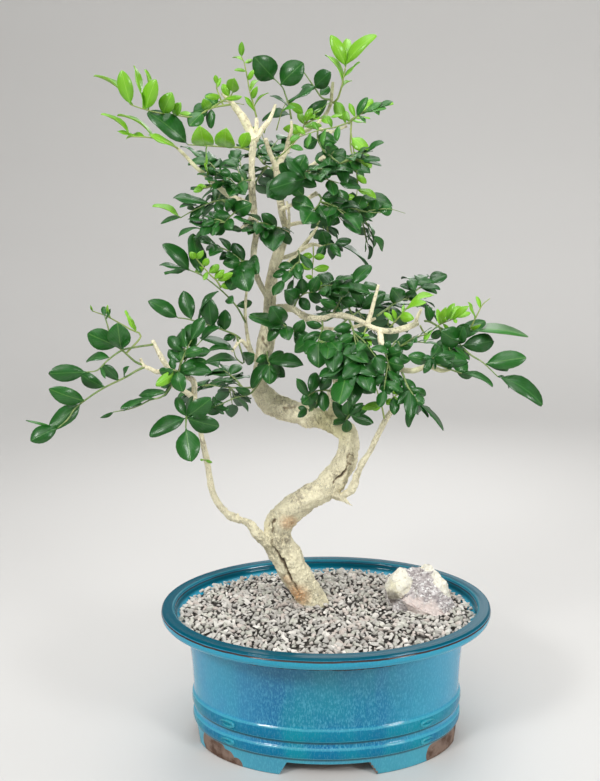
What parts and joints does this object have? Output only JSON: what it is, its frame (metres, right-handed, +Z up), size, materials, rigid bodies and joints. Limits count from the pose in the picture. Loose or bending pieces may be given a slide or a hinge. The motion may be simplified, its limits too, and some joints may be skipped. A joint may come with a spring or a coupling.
{
  "type": "orange jasmine bonsai",
  "caption": "Orange jasmine bonsai with a bent pale trunk and glossy leaflets in an oval blue glazed pot with gravel and a small rock.",
  "frame": {"origin": "middle of the bounding box footprint, on the plane the pot feet stand on", "axes": "+Z up, +X to the right along the pot seen from its front, +Y to the back"},
  "size_m": [0.4144, 0.2366, 0.6402],
  "materials": {
    "pot": "glossy glaze, mottled",
    "screen": "dull",
    "soil": "crumbly, matt",
    "gravel": "rough grains",
    "rock": "rough, crystalline",
    "bark": "smooth bark with cracks",
    "leaf": "glossy upper side",
    "leaf_lime": "fresh, satin"
  },
  "bodies": {
    "root": {"pot": "pot", "drain_screen_left": "screen", "drain_screen_right": "screen", "soil": "soil", "gravel": "gravel", "rock": "rock", "trunk": "bark", "spray_left_low": "leaf", "spray_left_arch": "leaf", "spray_left_round": "leaf", "spray_left_tuft": "leaf", "spray_left_hang": "leaf", "spray_back_low": "leaf", "spray_mid_low": "leaf", "spray_mid_high": "leaf", "spray_mid_lime": "leaf_lime", "spray_mid_gloss": "leaf", "spray_ul_end": "leaf_lime", "spray_ul_lime": "leaf_lime", "spray_ul_row": "leaf_lime", "spray_ul_mid": "leaf", "spray_ul_dark": "leaf", "spray_top_curl": "leaf_lime", "spray_top_dark": "leaf", "spray_top_mid": "leaf", "spray_top_lime": "leaf_lime", "spray_top_right": "leaf_lime", "spray_crown_lime": "leaf_lime", "spray_crown_right": "leaf", "spray_crown_front": "leaf", "spray_crown_back": "leaf", "spray_heart_leaves": "leaf", "spray_pale_round": "leaf", "spray_outer_right": "leaf", "spray_limb_tip": "leaf", "spray_limb_side": "leaf", "spray_thin_twig": "leaf_lime", "spray_side_front": "leaf", "spray_fold_leaves": "leaf", "spray_front_pair": "leaf", "spray_pad_a": "leaf", "spray_pad_b": "leaf", "spray_pad_c": "leaf", "spray_pad_back": "leaf", "spray_pad_back_far": "leaf", "spray_pad_lime": "leaf_lime", "spray_pad_dark": "leaf", "spray_end_curl": "leaf_lime", "spray_end_dark": "leaf", "spray_end_far": "leaf", "spray_end_bare": "leaf_lime", "spray_low_a": "leaf", "spray_low_b": "leaf", "spray_low_c": "leaf", "spray_low_d": "leaf", "spray_low_e": "leaf", "spray_low_f": "leaf", "spray_sucker_twig": "leaf_lime", "spray_curve_sprout": "leaf", "spray_trunk_front": "leaf"}
  },
  "joints": []
}
